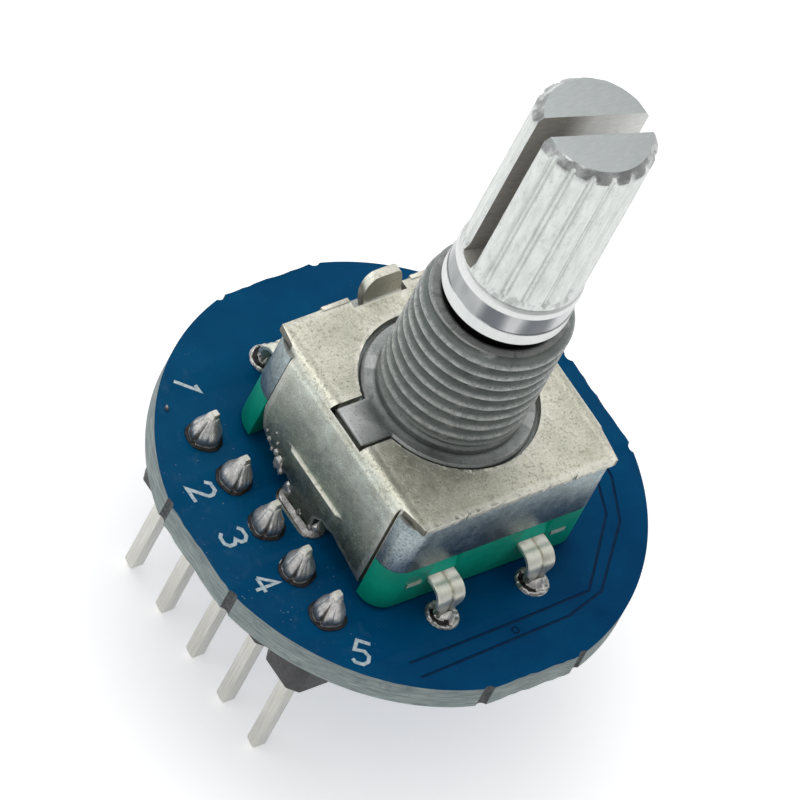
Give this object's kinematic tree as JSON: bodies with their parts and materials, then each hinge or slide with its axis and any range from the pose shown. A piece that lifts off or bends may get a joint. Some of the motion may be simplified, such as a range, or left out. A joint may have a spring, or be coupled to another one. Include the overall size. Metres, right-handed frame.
{
  "type": "rotary encoder",
  "caption": "Push-switch rotary encoder with a knurled, slotted shaft in a threaded bushing, on a round circuit board with a straight pin header.",
  "frame": {"origin": "on the shaft's axis, level with the lower tips of the header pins", "axes": "+Z along the shaft towards its slotted end; -X towards the pin header; -Y towards the two switch terminals; +Y towards the three encoder terminals"},
  "size_m": [0.0222, 0.0222, 0.0365],
  "materials": {
    "solder_mask": "deep blue solder mask over glass fibre, satin gloss",
    "black_plastic": "moulded, matt",
    "tinned_pin": "tin plated, satin",
    "solder": "cooled solder, bright with grey grain",
    "chip_resistor": "black glaze with tinned end caps",
    "plated_strip": "tin plated strip, satin",
    "green_plastic": "glass-filled plastic, semi-matt",
    "die_cast_zinc": "die-cast zinc, satin grey",
    "plated_sheet": "plated steel sheet, satin with fine pits",
    "bright_aluminium": "turned and knurled, bright",
    "spring_steel": "bright strip",
    "rotor_plastic": "moulded, natural white",
    "contact_brass": "polished contact alloy"
  },
  "bodies": {
    "fixed_body": {"circuit_board": "solder_mask", "header_insulator": "black_plastic", "header_pin_1": "tinned_pin", "header_pin_2": "tinned_pin", "header_pin_3": "tinned_pin", "header_pin_4": "tinned_pin", "header_pin_5": "tinned_pin", "header_solder_1": "solder", "header_solder_2": "solder", "header_solder_3": "solder", "header_solder_4": "solder", "header_solder_5": "solder", "pullup_resistor_1": "chip_resistor", "pullup_resistor_2": "chip_resistor", "pullup_resistor_3": "chip_resistor", "encoder_terminal_a": "plated_strip", "encoder_terminal_c": "plated_strip", "encoder_terminal_b": "plated_strip", "switch_terminal_d": "plated_strip", "switch_terminal_e": "plated_strip", "terminal_solder_a": "solder", "terminal_solder_c": "solder", "terminal_solder_b": "solder", "terminal_solder_d": "solder", "terminal_solder_e": "solder", "terminal_base": "green_plastic", "threaded_housing": "die_cast_zinc", "metal_frame": "plated_sheet", "frame_solder_left": "solder", "frame_solder_right": "solder", "detent_spring": "spring_steel", "snap_dome": "spring_steel"},
    "rotor_body": {"rotor": "rotor_plastic", "code_disc": "contact_brass"},
    "shaft_body": {"shaft": "bright_aluminium", "retaining_ring": "spring_steel"},
    "plunger_body": {"switch_plunger": "black_plastic"}
  },
  "joints": [
    {"name": "shaft_turn", "type": "hinge", "parent": "fixed_body", "child": "rotor_body", "pos_m": [0, 0, 0.0135], "axis": [0, 0, 1], "continuous": true, "deforming": ["detent_spring"]},
    {"name": "shaft_press", "type": "slide", "parent": "rotor_body", "child": "shaft_body", "axis": [0, 0, -1], "range_m": [0, 0.0005], "stiffness_N_per_m": 100, "springref_m": -0.0003},
    {"name": "plunger_press", "type": "slide", "parent": "fixed_body", "child": "plunger_body", "axis": [0, 0, -1], "range_m": [0, 0.0005], "deforming": ["snap_dome"]}
  ],
  "couplings": [
    {"joint": "plunger_press", "follows": "shaft_press", "ratio": 1}
  ]
}
